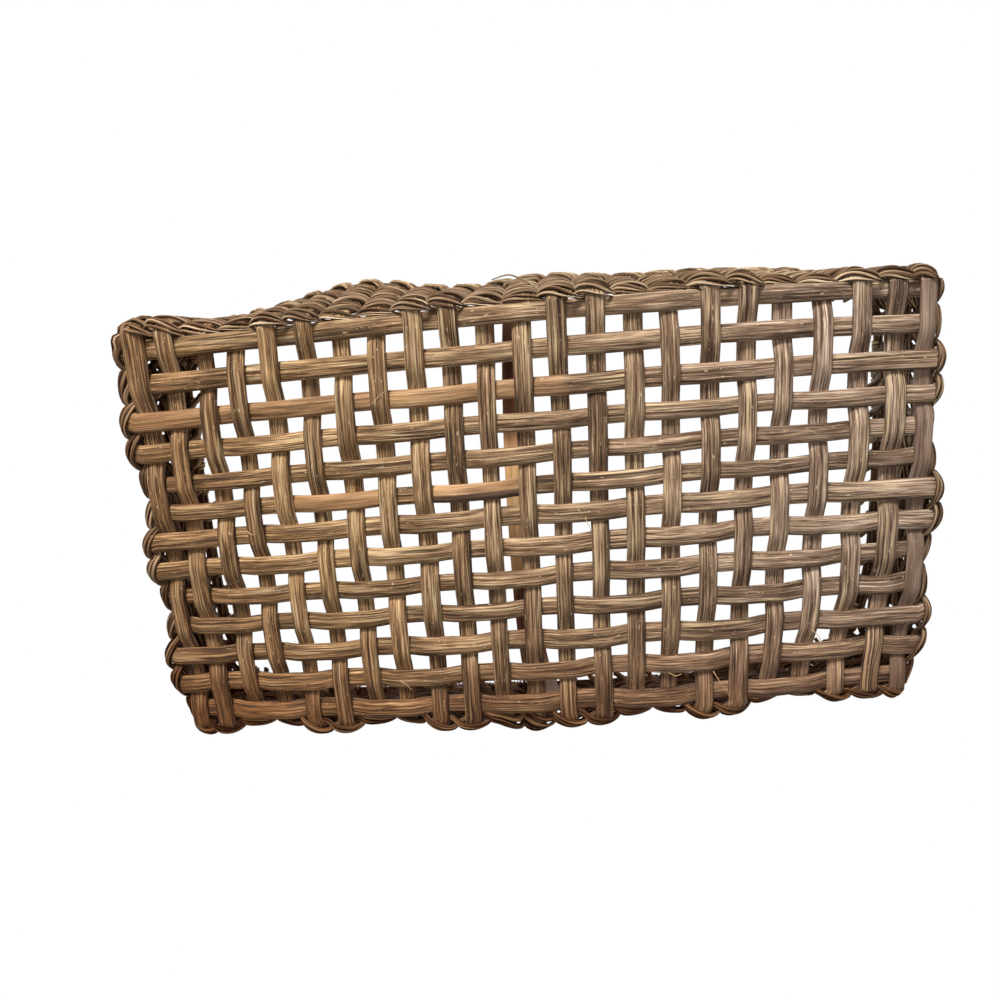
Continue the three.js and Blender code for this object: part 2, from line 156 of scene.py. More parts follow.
# Twined strands of the wall
STRAND_ROWS = 7
STRAND_RADIUS = 0.95
STRAND_SPACING = 2.75
LOW_SPACING = 2.25
STRANDS_IN_BUNDLE = 3
BUNDLES = 2
STRAND_SIDES = 8
STRAND_STEPS = 10
STRAND_OUT = REED_THICK / 2 + STRAND_RADIUS + 0.1
STRAND_HUG = 0.6
STRAND_PASS = -2.3
STRAND_LOOSE = 0.5
STRAND_SIZES = (0.85, 1.15)
SLANT_RANGE = (0.6, 1.4)
# Where the painted shade on a strand's top and bottom starts and is full, as a share of its radius
GAP_SHADE_FROM = (0.5, 0.95)
CORNER_CALM = 0.8
CORNER_ROUND = {
    CROSS_COUNT - 1: 0.5,
    CROSS_COUNT + LONG_COUNT - 1: 1.0,
    STAKES - LONG_COUNT - 1: 1.5,
    STAKES - 1: 3.0,
}
ROW_LOW = 5.2
ROW_PITCH = 9.5
WALL_RUN = 76.5

# Handle and lashings
HANDLE_TOP = 196.0
HANDLE_WIDTH = 19.0
HANDLE_THICK = 5.0
HANDLE_SQUARENESS = 6
HANDLE_SIDES = 40
WORN_RUN = 40
WORN_DEPTH = 0.12
LEG_LOW = BASE_TOP + WEAVE_GAP
LEG_HIGH = WALL_HEIGHT + 2.0
LEG_FOOT = FOOT_Y - 8.8
RIM_TO_LEG = RIM_WIDTH / 2 + HANDLE_THICK / 2 + 3 * WEAVE_GAP
LEG_SHOULDER = {"front": FOOT_Y + FRONT_FLARE - RIM_TO_LEG, "back": FOOT_Y + BACK_FLARE - RIM_TO_LEG}
ARCH_PULL = 0.56
ARCH_STEPS = 49
LEG_STEPS = 24
# Painted shade on the handle, along Y: where it starts and is full towards each leg, and its share at
# the back
FRONT_LEG_SHADE = (14, -30)
BACK_LEG_SHADE = (80, 100)
BACK_LEG_SHADE_SHARE = 0.7
HANDLE_LEAN = 14.0
HANDLE_REED = (CROSS_COUNT + 1) // 2
HANDLE_STAKES = (HANDLE_REED - 1, 2 * CROSS_COUNT + LONG_COUNT - HANDLE_REED)
LASHING_LOW = STAKE_TOP - 9.0
LASHING_RADIUS = 0.9
LASHING_HEIGHTS = {"lower": 69.6, "upper": 73.1}
LASHING_TURNS = 2
LASHING_TURN_PITCH = 1.75
LASHING_SLANT = 2.4
LASHING_SQUARENESS = 7
LASHING_STEPS = 64
LASHING_SIDES = 7
LASHING_TONE = (0.0, 0.6)
WALL_SEED_GAP = 4

# Painted shade where the light falls off: how far it goes, in metres from the middle to the back and to
# the left, and how strong it is
FALLOFF_BACK = (0.03, 0.13)
FALLOFF_LEFT = (0.1, 0.22)
BACK_FALLOFF_SHADE = 0.9
LEFT_FALLOFF_SHADE = 0.45
MOST_FALLOFF_SHADE = 1.3

# Studio, in metres and watts: each lamp's place, what it faces, its width and its power
LAMPS = {
    "key": ((-0.2, -1.3, -0.75), (0, 0, 0), 0.45, 40),
    "front_fill": ((0.02, -0.13, -0.75), (0, 0, 0), 0.35, 2.1),
    "top": ((0.0, -0.6, 3.8), (0, 0, 0.05), 2.0, 62),
    "back_left": ((-1.6, 1.8, 1.3), (0, 0, 0.05), 1.0, 29),
    "back_right": ((1.6, 1.8, 1.3), (0, 0, 0.05), 1.0, 29),
}
WORLD_FILL = 0.09
FLOOR_SIZE = 8.0
FLOOR_DROP = 0.002
FLOOR_COLOUR = (0.9, 0.9, 0.89, 1)

# Photo view: turn of the camera about X, Y and Z in degrees, and the middle of the base weave as the
# camera sees it, right, down and away
VIEW_TURN = (13.9, 4.5, -4.1)
VIEW_OFFSET = (15.8, 8.8, 413.9)
PICTURE_SIZE = 1000
FOCAL_PIXELS = 760
SENSOR = 36.0
CAMERA_NEAR = 0.01


def unit(vectors):
    return vectors / np.linalg.norm(vectors, axis=-1, keepdims=True)


def ease(share):
    share = np.clip(share, 0, 1)
    return share * share * (3 - 2 * share)


def onset(place, start, full):
    """From none at one place to all at another."""
    return ease((place - start) / (full - start))


def seeded(kind, *keys):
    """Random numbers of its own for each reed, strand or turn of a kind."""
    return np.random.default_rng([SEED, SEED_KEYS[kind], *keys])


def wander(rng, distance, run, amount):
    """Slow random change along a length, with a knot about every `run` millimetres."""
    knots = max(int(distance[-1] / run) + 2, 4)
    values = rng.normal(0, amount, knots + 3)
    at = distance / max(distance[-1], 1e-6) * (knots - 1)
    k = np.minimum(at.astype(int), knots - 2)
    share = ease(at - k)
    return values[k] * (1 - share) + values[k + 1] * share


def spline(points, steps):
    """Smooth open line through the points."""
    points = np.asarray(points, float)
    padded = np.vstack([2 * points[0] - points[1], points, 2 * points[-1] - points[-2]])
    before, start, end, after = padded[:-3], padded[1:-2], padded[2:-1], padded[3:]
    t = (np.arange(steps) / steps)[:, None, None]
    curve = 0.5 * (
        2 * start
        + (end - before) * t
        + (2 * before - 5 * start + 4 * end - after) * t**2
        + (3 * start - before - 3 * end + after) * t**3
    )
    line = curve.transpose(1, 0, 2).reshape(-1, points.shape[1])
    return np.vstack([line, points[-1]])


def round_loop(values, steps):
    """Values at the stakes, carried on smoothly between them all the way round."""
    before = np.roll(values, 1, axis=0)
    end = np.roll(values, -1, axis=0)
    after = np.roll(values, -2, axis=0)
    t = (np.arange(steps) / steps)[:, None, None]
    curve = 0.5 * (
        2 * values
        + (end - before) * t
        + (2 * before - 5 * values + 4 * end - after) * t**2
        + (3 * values - before - 3 * end + after) * t**3
    )
    return curve.transpose(1, 0, 2).reshape(-1, values.shape[1])


def oval(width, thick, roundness, sides):
    angle = np.arange(sides) / sides * 2 * math.pi
    c, s = np.cos(angle), np.sin(angle)
    power = 2 / roundness
    x = width / 2 * np.sign(c) * np.abs(c) ** power
    y = thick / 2 * np.sign(s) * np.abs(s) ** power
    return np.stack([x, y], axis=1)


def cross_place(i):
    if i == 1:
        return -LAST_CROSS
    if i == CROSS_COUNT:
        return LAST_CROSS
    return (i - (CROSS_COUNT + 1) / 2) * CROSS_PITCH


def long_place(j):
    return (j - (LONG_COUNT + 1) / 2) * LONG_PITCH


def cross_is_low(i, j):
    """Two over, two under; the last cross reed repeats the first."""
    lane = 1 if i == CROSS_COUNT else i
    return (lane + j + 2) % 4 < 2


def rim_outline(x, y):
    """Place on the rounded rim above a stake foot, and the direction along the rim there."""
    u, v = x / FOOT_X, y / FOOT_Y
    reach = np.abs(u) ** RIM_SQUARENESS + np.abs(v) ** RIM_SQUARENESS
    scale = reach ** (-1 / RIM_SQUARENESS)
    rim_x = FOOT_X + np.where(u > 0, RIGHT_FLARE, LEFT_FLARE)
    rim_y = FOOT_Y + np.where(v > 0, BACK_FLARE, FRONT_FLARE)
    slope_x = np.sign(u) * np.abs(u * scale) ** (RIM_SQUARENESS - 1) / rim_x
    slope_y = np.sign(v) * np.abs(v * scale) ** (RIM_SQUARENESS - 1) / rim_y
    out = unit(np.stack([slope_x, slope_y], axis=-1))
    place = np.stack([rim_x * u * scale, rim_y * v * scale], axis=-1)
    return place, np.stack([-out[..., 1], out[..., 0]], axis=-1)


def stake_feet():
    """Foot of every stake and the direction along the wall there, once round the basket."""
    cross = [cross_place(i) for i in range(1, CROSS_COUNT + 1)]
    longs = [long_place(j) for j in range(1, LONG_COUNT + 1)]
    front = [(x, -FOOT_Y, 1, 0) for x in cross]
    right = [(FOOT_X, y, 0, 1) for y in longs]
    back = [(x, FOOT_Y, -1, 0) for x in reversed(cross)]
    left = [(-FOOT_X, y, 0, -1) for y in reversed(longs)]
    return np.array(front + right + back + left, float)


def stake_levels():
    """Height at which each reed leaves the base, once round the basket."""
    front = [cross_is_low(i, 1) for i in range(1, CROSS_COUNT + 1)]
    right = [not cross_is_low(CROSS_COUNT, j) for j in range(1, LONG_COUNT + 1)]
    back = [cross_is_low(i, LONG_COUNT) for i in range(CROSS_COUNT, 0, -1)]
    left = [not cross_is_low(1, j) for j in range(LONG_COUNT, 0, -1)]
    low = np.array(front + right + back + left)
    walls = [CROSS_COUNT, LONG_COUNT, CROSS_COUNT, LONG_COUNT]
    rise = np.repeat([CROSS_RISE, LONG_RISE, CROSS_RISE, LONG_RISE], walls)
    return WEAVE_MIDDLE + np.where(low, -rise, rise)


def level(vectors, height):
    """Flat vectors raised to a height."""
    return np.column_stack([vectors, np.broadcast_to(height, len(vectors))])


FEET = stake_feet()
FEET_OUT = np.stack([FEET[:, 3], -FEET[:, 2]], axis=1)
LEVELS = stake_levels()
STANDS = np.where(LEVELS < WEAVE_MIDDLE, LOW_STAND, -LOW_STAND)
RIM_PLACES, RIM_ALONGS = rim_outline(FEET[:, 0], FEET[:, 1])
RIM_OUT = np.stack([RIM_ALONGS[:, 1], -RIM_ALONGS[:, 0]], axis=1)
LOOP_STEPS = 16
WALL_LOOP = round_loop(np.hstack([FEET, RIM_PLACES, RIM_ALONGS]), LOOP_STEPS)


def wall_at(stake, height):
    """Middle of the wall at a fractional stake number and a height, and its outward direction."""
    place = np.mod(stake, STAKES) * LOOP_STEPS
    at = np.arange(len(WALL_LOOP) + 1)
    columns = [np.interp(place, at, np.append(c, c[0])) for c in WALL_LOOP.T]
    found = np.stack(columns, axis=-1)
    share = np.clip((height - LEAN_FROM) / (STAKE_TOP - LEAN_FROM), 0, LEAN_LIMIT)[..., None]
    flat = found[..., 0:2] + share * (found[..., 4:6] - found[..., 0:2])
    along = unit((1 - share) * found[..., 2:4] + share * found[..., 6:8])
    out = np.stack([along[..., 1], -along[..., 0]], axis=-1)
    return flat, out


def stake_station(k, share):
    """Middle of stakes at a share of their free length from the base edge to the rim, with the way out
    of the wall there and the way up it. Reeds that leave under the edge reed stand further out."""
    out = level(FEET_OUT[k], 0.0)
    foot = level(FEET[k, 0:2], LEVELS[k]) + out * STANDS[k, None]
    above = np.array([0.0, 0.0, 1.0])
    start = foot + above * TURN
    lean = level(RIM_PLACES[k], STAKE_TOP) - start
    straight = np.linalg.norm(lean, axis=1)
    lean = lean / straight[:, None]
    quarter = TURN * math.pi / 2
    run = share * (quarter + straight)
    angle = np.clip(run / TURN, 0, math.pi / 2)[:, None]
    beyond = np.clip(run - quarter, 0, None)[:, None]
    place = foot - out * TURN * (1 - np.sin(angle)) + above * TURN * (1 - np.cos(angle)) + lean * beyond
    twist = beyond / straight[:, None]
    wall_out = unit((1 - twist) * out + twist * level(RIM_OUT[k], 0.0))
    up = np.where(beyond > 0, lean, np.cos(angle) * out + np.sin(angle) * above)
    face = np.where(beyond > 0, wall_out, np.sin(angle) * out - np.cos(angle) * above)
    face = unit(face - up * np.sum(face * up, axis=1, keepdims=True))
    return place, face, up


def hump(place, middle, spread):
    return np.exp(-(((place - middle) / spread) ** 2))


def past_edge(distance):
    """From the outermost reed out to the wall."""
    return ease((distance - EDGE_FROM) / EDGE_RUN)


def settle(points):
    """The hand-made basket: the even weave is pulled a few millimetres out of square and its back right
    corner drawn in, the walls stand in or out at the base edge, the front wall bulges, the back wall
    swells at the handle's foot, and the middle of it all goes to the origin."""
    x, y, z = points[:, 0], points[:, 1], points[:, 2]
    u = np.clip(x / LAST_CROSS, -1, 1)
    v = np.clip(y / LAST_LONG, -1, 1)
    rise = np.clip((z - LEAN_FROM) / (STAKE_TOP - LEAN_FROM), 0, 1)
    corner = onset(u, *CORNER_ALONG) * onset(v, *CORNER_ACROSS)
    dx = sum(amount * u**p * v**q for (p, q), amount in DRIFT_X.items()) - CORNER_X * corner
    dy = sum(amount * u**p * v**q for (p, q), amount in DRIFT_Y.items()) - CORNER_Y * corner
    right_in = RIGHT_IN * (1 - rise) + RIGHT_DENT * hump(v, *RIGHT_DENT_AT)
    dx -= right_in * past_edge(x - LAST_CROSS)
    left_in = BACK_LEFT_IN * onset(v, *BACK_LEFT_AT) - LEFT_OUT * onset(v, *LEFT_OUT_AT)
    dx += left_in * past_edge(-x - LAST_CROSS)
    front_in = FRONT_IN * (1 - rise) * (1 - onset(u, *FRONT_LEFT_FREE))
    front_in = front_in + FRONT_RIGHT_IN * onset(u, *FRONT_RIGHT_AT)
    dy += front_in * past_edge(-y - LAST_LONG)
    dy -= BACK_IN * onset(u, *BACK_IN_AT) * past_edge(y - LAST_LONG)
    bulge = FRONT_BULGE * hump(u, *FRONT_BULGE_AT) + FRONT_SWELL * hump(u, *FRONT_SWELL_AT)
    dy -= bulge * np.clip(-v, 0, 1) * rise
    swell = BACK_SWELL * hump(u, *BACK_SWELL_AT) * hump(z, *BACK_SWELL_HEIGHT)
    dy += swell * past_edge(y - LAST_LONG)
    return np.stack([x + dx - MIDDLE_X, y + dy - MIDDLE_Y, z], axis=1)


def tube(points, across, section, rng, closed=False, skin=None, tone=0.0):
    """A section carried along a line. Each corner keeps its place in the straight length, for the
    grain, and the tone, and the bare skin and painted shade, of the length it belongs to."""
    stations = len(points)
    if closed:
        tangent = np.roll(points, -1, axis=0) - np.roll(points, 1, axis=0)
    else:
        tangent = np.gradient(points, axis=0)
    normal = unit(np.cross(tangent, across))
    side = unit(np.cross(normal, tangent))
    shapes = np.broadcast_to(section, (stations, *np.shape(section)[-2:]))
    corners = shapes.shape[1]
    verts = points[:, None] + shapes[..., 0:1] * side[:, None] + shapes[..., 1:2] * normal[:, None]
    gaps = np.linalg.norm(np.diff(points, axis=0), axis=1)
    distance = np.concatenate([[0], np.cumsum(gaps)])
    along = np.broadcast_to(distance[:, None, None], (stations, corners, 1))
    grain = np.concatenate([shapes, along], axis=2).reshape(-1, 3) + rng.uniform(0, GRAIN_SHIFT, 3)
    ring = np.arange(stations * corners).reshape(stations, corners)
    if closed:
        ring = np.vstack([ring, ring[:1]])
    ahead = np.roll(ring, -1, axis=1)
    quads = np.stack([ring[:-1], ahead[:-1], ahead[1:], ring[1:]], axis=-1).reshape(-1, 4)
    faces = quads.tolist()
    if not closed:
        faces.append(ring[0][::-1].tolist())
        faces.append(ring[-1].tolist())
    count = stations * corners
    return {
        "verts": verts.reshape(-1, 3),
        "faces": faces,
        "grain": grain,
        "skin": np.zeros(count) if skin is None else np.asarray(skin, float).reshape(-1),
        "tone": np.full(count, float(tone)),
    }


def falloff_shade_share(x, y):
    """Share of painted shade where light falls off: none in the middle, some at the left end, most at
    the back.
    """
    back = onset(y, *FALLOFF_BACK)
    left = onset(-x, *FALLOFF_LEFT)
    return np.clip(BACK_FALLOFF_SHADE * back + LEFT_FALLOFF_SHADE * left, 0, MOST_FALLOFF_SHADE)


def make_piece(name, tubes, material, nodes):
    """One piece of the basket from its tubes, riding on the basket body in place of its solids."""
    faces = []
    start = 0
    for part in tubes:
        faces.extend([[corner + start for corner in face] for face in part["faces"]])
        start += len(part["verts"])
    verts = settle(np.vstack([part["verts"] for part in tubes])) * MM
    mesh = bpy.data.meshes.new(name)
    mesh.from_pydata(verts.tolist(), [], faces)
    grain = mesh.attributes.new("grain", "FLOAT_VECTOR", "POINT")
    grain.data.foreach_set("vector", (np.vstack([part["grain"] for part in tubes]) * MM).ravel())
    for label in ("skin", "tone"):
        values = np.concatenate([part[label] for part in tubes])
        layer = mesh.attributes.new(label, "FLOAT", "POINT")
        layer.data.foreach_set("value", values)
    warm = mesh.attributes.new("side", "FLOAT", "POINT")
    warm.data.foreach_set("value", np.clip(verts[:, 0] / (FOOT_X * MM), -1, 1))
    # Painted shade where the light falls off towards the back and the left end
    falloff_shade = mesh.attributes.new("falloff_shade", "FLOAT", "POINT")
    falloff_shade.data.foreach_set("value", falloff_shade_share(verts[:, 0], verts[:, 1]))
    mesh.shade_smooth()
    mesh.materials.append(material)
    piece = bpy.data.objects.new(name, mesh)
    bpy.context.scene.collection.objects.link(piece)
    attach(piece, "root")
    if nodes:
        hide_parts(*nodes)
    return piece


def add(tree, kind, settings=None, **sockets):
    """One shader node, its inputs set to values or linked to other nodes' outputs."""
    made = tree.nodes.new(kind)
    for label, value in (settings or {}).items():
        setattr(made, label, value)
    for label, value in sockets.items():
        socket = made.inputs[label.replace("_", " ")]
        if isinstance(value, bpy.types.NodeSocket):
            tree.links.new(value, socket)
        else:
            socket.default_value = value
    return made


def calculate(tree, operation, first, second):
    made = tree.nodes.new("ShaderNodeMath")
    made.operation = operation
    for socket, value in zip(made.inputs, (first, second)):
        if isinstance(value, bpy.types.NodeSocket):
            tree.links.new(value, socket)
        else:
            socket.default_value = value
    return made.outputs[0]


def blend(tree, share, first, second, mode="MIX"):
    made = tree.nodes.new("ShaderNodeMix")
    made.data_type = "RGBA"
    made.blend_type = mode
    for socket, value in ((made.inputs[0], share), (made.inputs[6], first), (made.inputs[7], second)):
        if isinstance(value, bpy.types.NodeSocket):
            tree.links.new(value, socket)
        else:
            socket.default_value = value
    return made.outputs[2]


def colour(code):
    """Linear colour of a six-digit code."""
    shares = [int(code[k : k + 2], 16) / 255 for k in (0, 2, 4)]
    linear = [s / 12.92 if s <= 0.04045 else ((s + 0.055) / 1.055) ** 2.4 for s in shares]
    return (*linear, 1.0)


def ramp(tree, share, stops):
    made = tree.nodes.new("ShaderNodeValToRGB")
    tree.links.new(share, made.inputs[0])
    elements = made.color_ramp.elements
    while len(elements) < len(stops):
        elements.new(0.5)
    for element, (place, code) in zip(elements, stops):
        element.position = place
        element.color = colour(code)
    return made.outputs[0]


def spread(tree, value, low, high, to_low=0.0, to_high=1.0):
    """A value stretched from one range to another, held at the ends."""
    made = add(tree, "ShaderNodeMapRange", {"clamp": True}, Value=value)
    limits = {"From Min": low, "From Max": high, "To Min": to_low, "To Max": to_high}
    for label, number in limits.items():
        made.inputs[label].default_value = number
    return made.outputs[0]


def attribute(tree, label):
    return add(tree, "ShaderNodeAttribute", {"attribute_name": label})


def streaks(tree, grain, across, along, detail, distortion=0.0):
    """Noise drawn out along the fibre: waves per metre across it and along it."""
    stretch = tree.nodes.new("ShaderNodeVectorMath")
    stretch.operation = "MULTIPLY"
    tree.links.new(grain, stretch.inputs[0])
    stretch.inputs[1].default_value = (across, across, along)
    made = add(
        tree,
        "ShaderNodeTexNoise",
        Vector=stretch.outputs[0],
        Scale=1.0,
        Detail=detail,
        Roughness=0.6,
        Distortion=distortion,
    )
    return made.outputs[0]


def new_material(name):
    material = bpy.data.materials.new(name)
    material.use_nodes = True
    tree = material.node_tree
    tree.nodes.clear()
    return material, tree


def close_material(tree, base, rough, height, bump, depth, gloss):
    relief = add(tree, "ShaderNodeBump", Strength=bump, Distance=depth, Height=height)
    surface = add(
        tree,
        "ShaderNodeBsdfPrincipled",
        Base_Color=base,
        Roughness=rough,
        Normal=relief.outputs[0],
        Specular_IOR_Level=gloss,
    )
    out = tree.nodes.new("ShaderNodeOutputMaterial")
    tree.links.new(surface.outputs[0], out.inputs[0])


def weigh(tree, *shares):
    """Sum of patterns, each times its share."""
    total = None
    for pattern, share in shares:
        part = calculate(tree, "MULTIPLY", pattern, share)
        total = part if total is None else calculate(tree, "ADD", total, part)
    return total


def shaded(tree, base, tint):
    """Painted shade: a darker, redder tint where the light falls off towards the back wall and left
    end.
    """
    falloff_shade = attribute(tree, "falloff_shade").outputs["Fac"]
    return blend(tree, falloff_shade, base, colour(tint), "MULTIPLY")


def drawn_line(tree, pattern, half_width):
    """Thin lines where a pattern passes its middle."""
    away = calculate(tree, "ABSOLUTE", calculate(tree, "SUBTRACT", pattern, 0.5), 0.0)
    return spread(tree, away, 0.0, half_width, 1.0, 0.0)


# Painted shade: the tint of the reeds and the strands where the light falls off at the back of the
# basket
REED_FALLOFF_TINT = "cdb099"
STRAND_FALLOFF_TINT = "d0a786"

# Colours of reed fibre from the darkest to the lightest, on the warm left and the greyer right
WARM_FIBRE = (
    (0.38, "261609"),
    (0.44, "4c331a"),
    (0.49, "735536"),
    (0.535, "93704a"),
    (0.58, "b69267"),
    (0.64, "e2bf8e"),
)
COOL_FIBRE = (
    (0.38, "23150d"),
    (0.44, "483424"),
    (0.49, "6d5644"),
    (0.535, "8c7361"),
    (0.58, "ae9680"),
    (0.64, "dac3ac"),
)
RAISED_FIBRE = "d0b58c"
TORN_SPECK = "dcc49c"
CRACK = "2c1c10"
# Painted shadow band on the lower part of a reed beside a stretch of its skin
SHADOW_BAND = "3a261c"

# Smooth skin left on a reed, on the left and on the right
WARM_SKIN = ((0.35, "6a4728"), (0.5, "a17850"), (0.65, "c29a6c"))
COOL_SKIN = ((0.35, "4c3c33"), (0.5, "755e51"), (0.65, "947c6c"))

# Painted shade in the grooves between strands, and the handle's wood as a painted lit copy and a
# painted shaded copy
GAP_SHADE = "21150c"
LIT_WOOD = ((0.34, "c58e58"), (0.5, "f0ba84"), (0.66, "f9d5a2"))
SHADED_WOOD = ((0.34, "3f281d"), (0.5, "5f3d2c"), (0.66, "80573e"))


def reed_material():
    """Aged split reed: long light and dark fibres, cracks, torn specks, patches of smooth tan skin."""
    material, tree = new_material("aged_reed")
    grain = attribute(tree, "grain").outputs["Vector"]
    tone = attribute(tree, "tone").outputs["Fac"]
    skin = attribute(tree, "skin").outputs["Fac"]
    side = attribute(tree, "side").outputs["Fac"]
    coarse = streaks(tree, grain, across=950, along=24, detail=3.0)
    fine = streaks(tree, grain, across=2100, along=100, detail=3.0)
    patch = streaks(tree, grain, across=100, along=18, detail=2.0)
    mixed = weigh(tree, (coarse, 0.47), (fine, 0.33), (patch, 0.2))
    shifted = weigh(tree, (mixed, 1.0), (tone, 0.02), (side, 0.006))
    warm_fibre = ramp(tree, shifted, WARM_FIBRE)
    cool_fibre = ramp(tree, shifted, COOL_FIBRE)
    fibre = blend(tree, spread(tree, side, -0.5, 0.7), warm_fibre, cool_fibre)
    torn = spread(tree, streaks(tree, grain, across=70, along=24, detail=1.0), 0.4, 0.6)
    long_lines = streaks(tree, grain, across=400, along=7, detail=1.0)
    raised_line = drawn_line(tree, long_lines, half_width=0.045)
    bright = calculate(tree, "MULTIPLY", raised_line, spread(tree, torn, 0.0, 1.0, 0.15, 0.8))
    fibre = blend(tree, bright, fibre, colour(RAISED_FIBRE))
    split_lines = streaks(tree, grain, across=310, along=6, detail=1.0)
    crack = calculate(tree, "MULTIPLY", drawn_line(tree, split_lines, half_width=0.022), 0.8)
    fibre = blend(tree, crack, fibre, colour(CRACK))
    dots = streaks(tree, grain, across=800, along=260, detail=2.0)
    speck = spread(tree, dots, 0.66, 0.74, 0.0, 0.65)
    fibre = blend(tree, speck, fibre, colour(TORN_SPECK))
    cloud = streaks(tree, grain, across=190, along=18, detail=3.0)
    smooth_tone = weigh(tree, (cloud, 0.8), (coarse, 0.2))
    warm_skin = ramp(tree, smooth_tone, WARM_SKIN)
    cool_skin = ramp(tree, smooth_tone, COOL_SKIN)
    bare = blend(tree, spread(tree, side, -0.1, 0.8), warm_skin, cool_skin)
    worn = weigh(tree, (skin, 1.0), (fine, 0.6))
    covered = spread(tree, worn, 0.55, 0.95, 0.0, 0.85)
    rubbed = blend(tree, covered, fibre, bare)
    # Painted shadow band where the skin share is below nought, then painted shade where the light falls
    # off
    shadow_band = calculate(tree, "MULTIPLY", skin, -0.8)
    base = shaded(tree, blend(tree, shadow_band, rubbed, colour(SHADOW_BAND)), REED_FALLOFF_TINT)
    rough_fibre = spread(tree, fine, 0.3, 0.7, 0.65, 0.9)
    rough = calculate(tree, "SUBTRACT", rough_fibre, calculate(tree, "MULTIPLY", covered, 0.25))
    raised = weigh(tree, (coarse, 0.9), (fine, 0.5), (bright, 0.25), (crack, -0.35))
    height = calculate(tree, "MULTIPLY", raised, spread(tree, covered, 0.0, 1.0, 1.0, 0.4))
    close_material(tree, base, rough, height, bump=0.8, depth=0.9 * MM, gloss=0.25)
    return material


def strand_material(name, stops, gloss):
    """Fine round strand with lengthwise lines and painted shade in its grooves, on its top and bottom.
    """
    material, tree = new_material(name)
    grain = attribute(tree, "grain").outputs["Vector"]
    tone = attribute(tree, "tone").outputs["Fac"]
    lines = streaks(tree, grain, across=1300, along=40, detail=3.0)
    patch = streaks(tree, grain, across=150, along=18, detail=2.0)
    mixed = weigh(tree, (lines, 0.65), (patch, 0.35))
    shifted = weigh(tree, (mixed, 1.0), (tone, 0.05))
    clean = ramp(tree, shifted, stops)
    # Painted shade in the grooves between strands, carried in the skin attribute, then painted shade
    # where the light falls off
    gap_shade = attribute(tree, "skin").outputs["Fac"]
    gap_shaded = blend(tree, calculate(tree, "MULTIPLY", gap_shade, 0.85), clean, colour(GAP_SHADE))
    base = shaded(tree, gap_shaded, STRAND_FALLOFF_TINT)
    rough = spread(tree, lines, 0.3, 0.7, 0.4, 0.75)
    close_material(tree, base, rough, lines, bump=0.6, depth=0.5 * MM, gloss=gloss)
    return material


def handle_material():
    """Worn bare wood: long grain, a painted lit copy and a painted shaded copy, mixed by painted shade
    along the hoop and by blotches.
    """
    material, tree = new_material("bent_wood")
    grain = attribute(tree, "grain").outputs["Vector"]
    skin = attribute(tree, "skin").outputs["Fac"]
    lines = streaks(tree, grain, across=420, along=7, detail=4.0, distortion=0.4)
    pores = streaks(tree, grain, across=1600, along=40, detail=2.0)
    blotch = streaks(tree, grain, across=40, along=14, detail=3.0)
    mixed = weigh(tree, (lines, 0.7), (pores, 0.3))
    pale = ramp(tree, mixed, LIT_WOOD)
    dark = ramp(tree, mixed, SHADED_WOOD)
    # Painted shade share along the hoop, shifted by random blotches
    shaded_share = calculate(tree, "ADD", skin, calculate(tree, "SUBTRACT", blotch, 0.5))
    base = blend(tree, spread(tree, shaded_share, 0.1, 0.9), pale, dark)
    rough = spread(tree, pores, 0.3, 0.7, 0.45, 0.75)
    close_material(tree, base, rough, mixed, bump=0.5, depth=0.4 * MM, gloss=0.02)
    return material


REED = reed_material()
STRAND = strand_material(
    "twined_strand",
    [(0.36, "2a1c13"), (0.44, "523c2b"), (0.5, "785e46"), (0.56, "9f8468"), (0.64, "d8c1a0")],
    gloss=0.02,
)
BORDER = strand_material(
    "border_strand",
    [(0.34, "2c1d12"), (0.43, "58432e"), (0.5, "826a50"), (0.57, "a68c6c"), (0.68, "d6bd98")],
    gloss=0.03,
)
LASHING = strand_material(
    "lashing_strand",
    [(0.34, "24180f"), (0.44, "46311f"), (0.54, "68503a"), (0.66, "8d7355")],
    gloss=0.4,
)
STRAW = strand_material(
    "loose_straw",
    [(0.34, "8a7250"), (0.45, "b89c74"), (0.55, "d4bc94"), (0.66, "ead8b6")],
    gloss=0.35,
)
WOOD = handle_material()

# Stretches of a reed that still carry smooth skin: kind, number, from and to along it, share of width
# (the rest of the width gets a painted shadow band there) and how much of the skin is left
SKIN_STRETCHES = (
    ("long", 3, -225, 30, 1.1, 0.5),
    ("long", 6, -134, -68, 1.1, 1.0),
    ("long", 6, -62, 4, 0.55, 1.0),
    ("cross", 23, -120, 120, 1.1, 0.55),
)
SKIN_FADE = 12.0
SKIN_EDGE = 2.0

# Reeds that lie a little to one side of their place, and wider ones
ASIDE = {
    ("cross", 3): 0.9,
    ("cross", 5): -0.6,
    ("cross", 9): 0.8,
    ("cross", 10): 0.6,
    ("cross", 13): -0.7,
    ("cross", 17): 0.8,
    ("cross", 18): 0.7,
    ("cross", 21): 0.9,
    ("long", 3): 0.9,
    ("long", 4): 0.6,
    ("long", 5): 0.8,
    ("long", 6): 0.4,
    ("long", 7): -0.5,
    ("long", 8): -0.5,
    ("long", 11): 0.5,
}
WIDER = {("long", 7): 1.12, ("long", 8): 1.07, ("long", 2): 0.95, ("cross", 23): 0.86}


def reed_run(places, levels, start, end):
    """Side view of a reed along the base, over and under its crossings, from turn to turn."""
    run = np.linspace(start, end, int((end - start) / REED_STEP) + 1)
    k = np.clip(np.searchsorted(places, run) - 1, 0, len(places) - 2)
    free = places[k + 1] - places[k] - 2 * CROSSING_FLAT
    share = ease((run - places[k] - CROSSING_FLAT) / free)
    return run, levels[k] + (levels[k + 1] - levels[k]) * share


